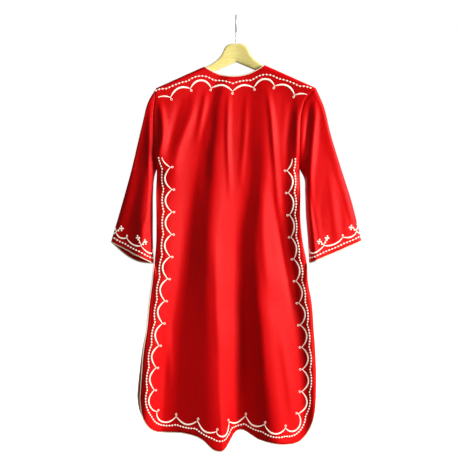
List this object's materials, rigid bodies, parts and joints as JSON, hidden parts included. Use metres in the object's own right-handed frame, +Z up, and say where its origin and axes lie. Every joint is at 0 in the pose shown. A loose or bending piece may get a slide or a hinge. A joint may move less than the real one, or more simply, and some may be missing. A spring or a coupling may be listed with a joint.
{
  "type": "embroidered dress on hanger",
  "caption": "Red knee-length folk dress with cream scallop embroidery and piping, side slits and flared sleeves, hanging on a pale wooden hanger with a wire hook.",
  "frame": {"origin": "inside top of the hanger's hook, where the rail that holds it would touch", "axes": "+Z up along the dress, +X to the viewer's right, +Y away from the viewer; the back of the dress faces -Y"},
  "size_m": [0.6529, 0.1304, 1.1329],
  "materials": {
    "red_cloth": "smooth cotton sateen",
    "cream_piping": "bias piping",
    "cream_thread": "satin stitch embroidery",
    "pale_wood": "clear varnish",
    "hook_metal": "bright wire"
  },
  "bodies": {
    "root": {"back_panel": "red_cloth", "front_panel": "red_cloth", "sleeve_left": "red_cloth", "sleeve_right": "red_cloth", "neck_piping": "cream_piping", "cuff_piping_left": "cream_piping", "cuff_piping_right": "cream_piping", "hem_piping_back": "cream_piping", "hem_piping_front": "cream_piping", "scallops_back": "cream_thread", "scallops_front": "cream_thread", "scallops_yoke_back": "cream_thread", "scallops_yoke_front": "cream_thread", "scallops_cuff_left": "cream_thread", "scallops_cuff_right": "cream_thread", "hanger_bar": "pale_wood", "hanger_hook": "hook_metal"}
  },
  "joints": []
}
